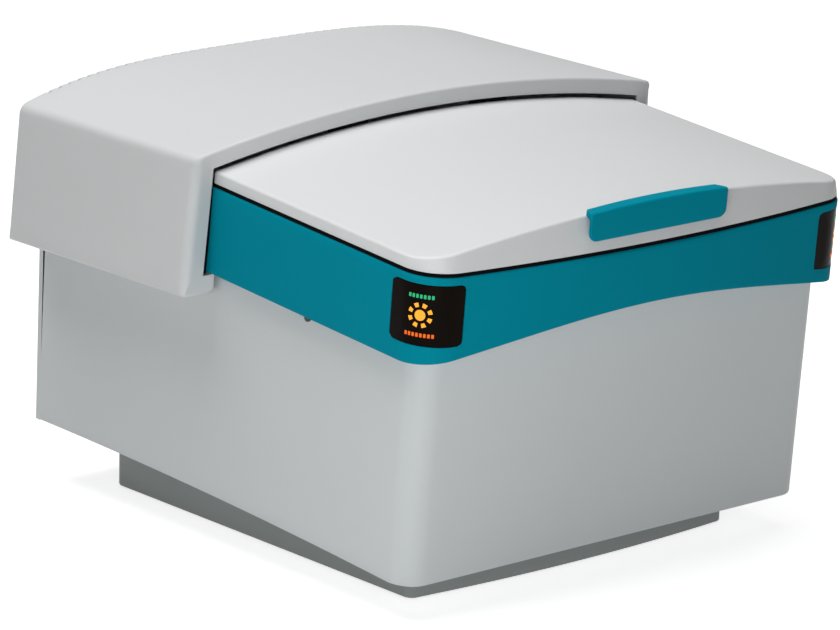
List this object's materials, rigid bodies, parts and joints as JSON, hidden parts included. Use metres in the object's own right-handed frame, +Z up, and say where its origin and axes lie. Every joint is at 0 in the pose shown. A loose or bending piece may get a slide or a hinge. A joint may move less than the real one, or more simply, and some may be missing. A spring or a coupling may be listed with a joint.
{
  "type": "x-ray fluorescence spectrometer",
  "caption": "Benchtop x-ray fluorescence spectrometer with a hinged sample lid, a turning sample tray, a tube, a detector and a filter wheel inside.",
  "frame": {"origin": "bottom centre of the whole object, on the plane its feet rest on", "axes": "+Z up, -Y towards the user and the front of the lid, +X to the user's right"},
  "size_m": [0.6032, 0.6617, 0.4302],
  "materials": {
    "hood_grey": "satin moulded plastic",
    "body_grey": "satin paint",
    "lid_grey": "satin moulded plastic",
    "collar_teal": "satin paint",
    "base_grey": "fine textured paint",
    "black_rubber": "matt",
    "window_black": "gloss",
    "lamp": "clear",
    "board_green": "circuit board",
    "steel": "zinc plated",
    "shield_steel": "satin paint",
    "aluminium": "machined",
    "black_plastic": "matt",
    "white_plastic": "matt",
    "brass": "machined"
  },
  "bodies": {
    "housing": {"plinth_base": "base_grey", "rubber_feet": "black_rubber", "chassis_floor": "steel", "chassis_frame": "aluminium", "hinge_beam": "aluminium", "body_shell": "body_grey", "housing_screws": "steel", "top_deck": "shield_steel", "collar_band": "collar_teal", "lid_seal": "black_rubber", "status_window_left": "window_black", "status_window_right": "window_black", "indicator_boards": "board_green", "indicator_lamps": "lamp", "hinge_pins": "steel", "hinge_brackets": "steel", "rear_hood": "hood_grey", "hood_brackets": "steel", "tray_bearing": "brass", "tray_motor": "black_plastic", "motor_mount": "aluminium", "measuring_chamber": "aluminium", "shutter_solenoid": "steel", "shutter_bracket": "aluminium", "filter_motor": "steel", "optics_bracket": "aluminium", "xray_tube": "brass", "detector": "aluminium", "high_voltage_generator": "black_plastic", "power_supply": "aluminium", "control_board": "board_green", "board_standoffs": "brass", "interlock_switch": "black_plastic", "rear_panel": "body_grey", "fan_frames": "black_plastic", "fan_guards": "steel", "mains_inlet": "black_plastic", "rocker_frame": "black_plastic", "network_socket": "steel", "usb_sockets": "steel", "gas_fitting": "brass"},
    "lid": {"lid_shell": "lid_grey", "lid_liner": "shield_steel", "pull_handle": "collar_teal", "handle_screws": "steel", "hinge_leaves": "steel"},
    "tray": {"sample_tray": "aluminium", "tray_inserts": "white_plastic", "tray_gear": "white_plastic", "tray_knob": "black_plastic"},
    "cup": {"sample_cup": "white_plastic"},
    "pinion": {"drive_pinion": "brass"},
    "filter": {"filter_wheel": "aluminium", "filter_discs": "brass"},
    "shutter": {"beam_shutter": "steel"},
    "fan_left": {"fan_rotor_left": "black_plastic"},
    "fan_right": {"fan_rotor_right": "black_plastic"},
    "rocker": {"power_rocker": "black_plastic"},
    "fuse": {"fuse_drawer": "black_plastic"},
    "plunger": {"interlock_plunger": "white_plastic"}
  },
  "joints": [
    {"name": "lid_hinge", "type": "hinge", "parent": "housing", "child": "lid", "pos_m": [0, 0.01297, 0.417], "axis": [-1, 0, 0], "range_deg": [0, 70]},
    {"name": "tray_spin", "type": "hinge", "parent": "housing", "child": "tray", "pos_m": [0, -0.13442, 0.32012], "axis": [0, -0.0837, 0.9965], "continuous": true},
    {"name": "pinion_spin", "type": "hinge", "parent": "housing", "child": "pinion", "pos_m": [-0.06014, -0.15246, 0.27344], "axis": [0, -0.0837, 0.9965], "continuous": true},
    {"name": "cup_lift", "type": "slide", "parent": "tray", "child": "cup", "axis": [0, -0.0837, 0.9965], "range_m": [0, 0.016]},
    {"name": "filter_spin", "type": "hinge", "parent": "housing", "child": "filter", "pos_m": [-0.04384, 0.01089, 0.27478], "axis": [-0.7071, 0.0592, -0.7046], "continuous": true},
    {"name": "shutter_slide", "type": "slide", "parent": "housing", "child": "shutter", "axis": [0, 0.9965, 0.0837], "range_m": [0, 0.024], "stiffness_N_per_m": 150, "springref_m": -0.004},
    {"name": "fan_spin_left", "type": "hinge", "parent": "housing", "child": "fan_left", "pos_m": [-0.07, 0.29606, 0.17475], "axis": [0, 0.9992, 0.0401], "continuous": true},
    {"name": "fan_spin_right", "type": "hinge", "parent": "housing", "child": "fan_right", "pos_m": [-0.17, 0.29606, 0.17475], "axis": [0, 0.9992, 0.0401], "continuous": true},
    {"name": "power_rocker_tilt", "type": "hinge", "parent": "housing", "child": "rocker", "pos_m": [0.19, 0.30959, 0.14927], "axis": [1, 0, 0], "range_deg": [0, 18]},
    {"name": "fuse_slide", "type": "slide", "parent": "housing", "child": "fuse", "axis": [0, 0.9992, 0.0401], "range_m": [0, 0.02]},
    {"name": "plunger_press", "type": "slide", "parent": "housing", "child": "plunger", "axis": [0, -0.0837, 0.9965], "range_m": [-0.003, 0], "stiffness_N_per_m": 300, "springref_m": 0.002}
  ],
  "couplings": [
    {"joint": "pinion_spin", "follows": "tray_spin", "ratio": -3}
  ]
}
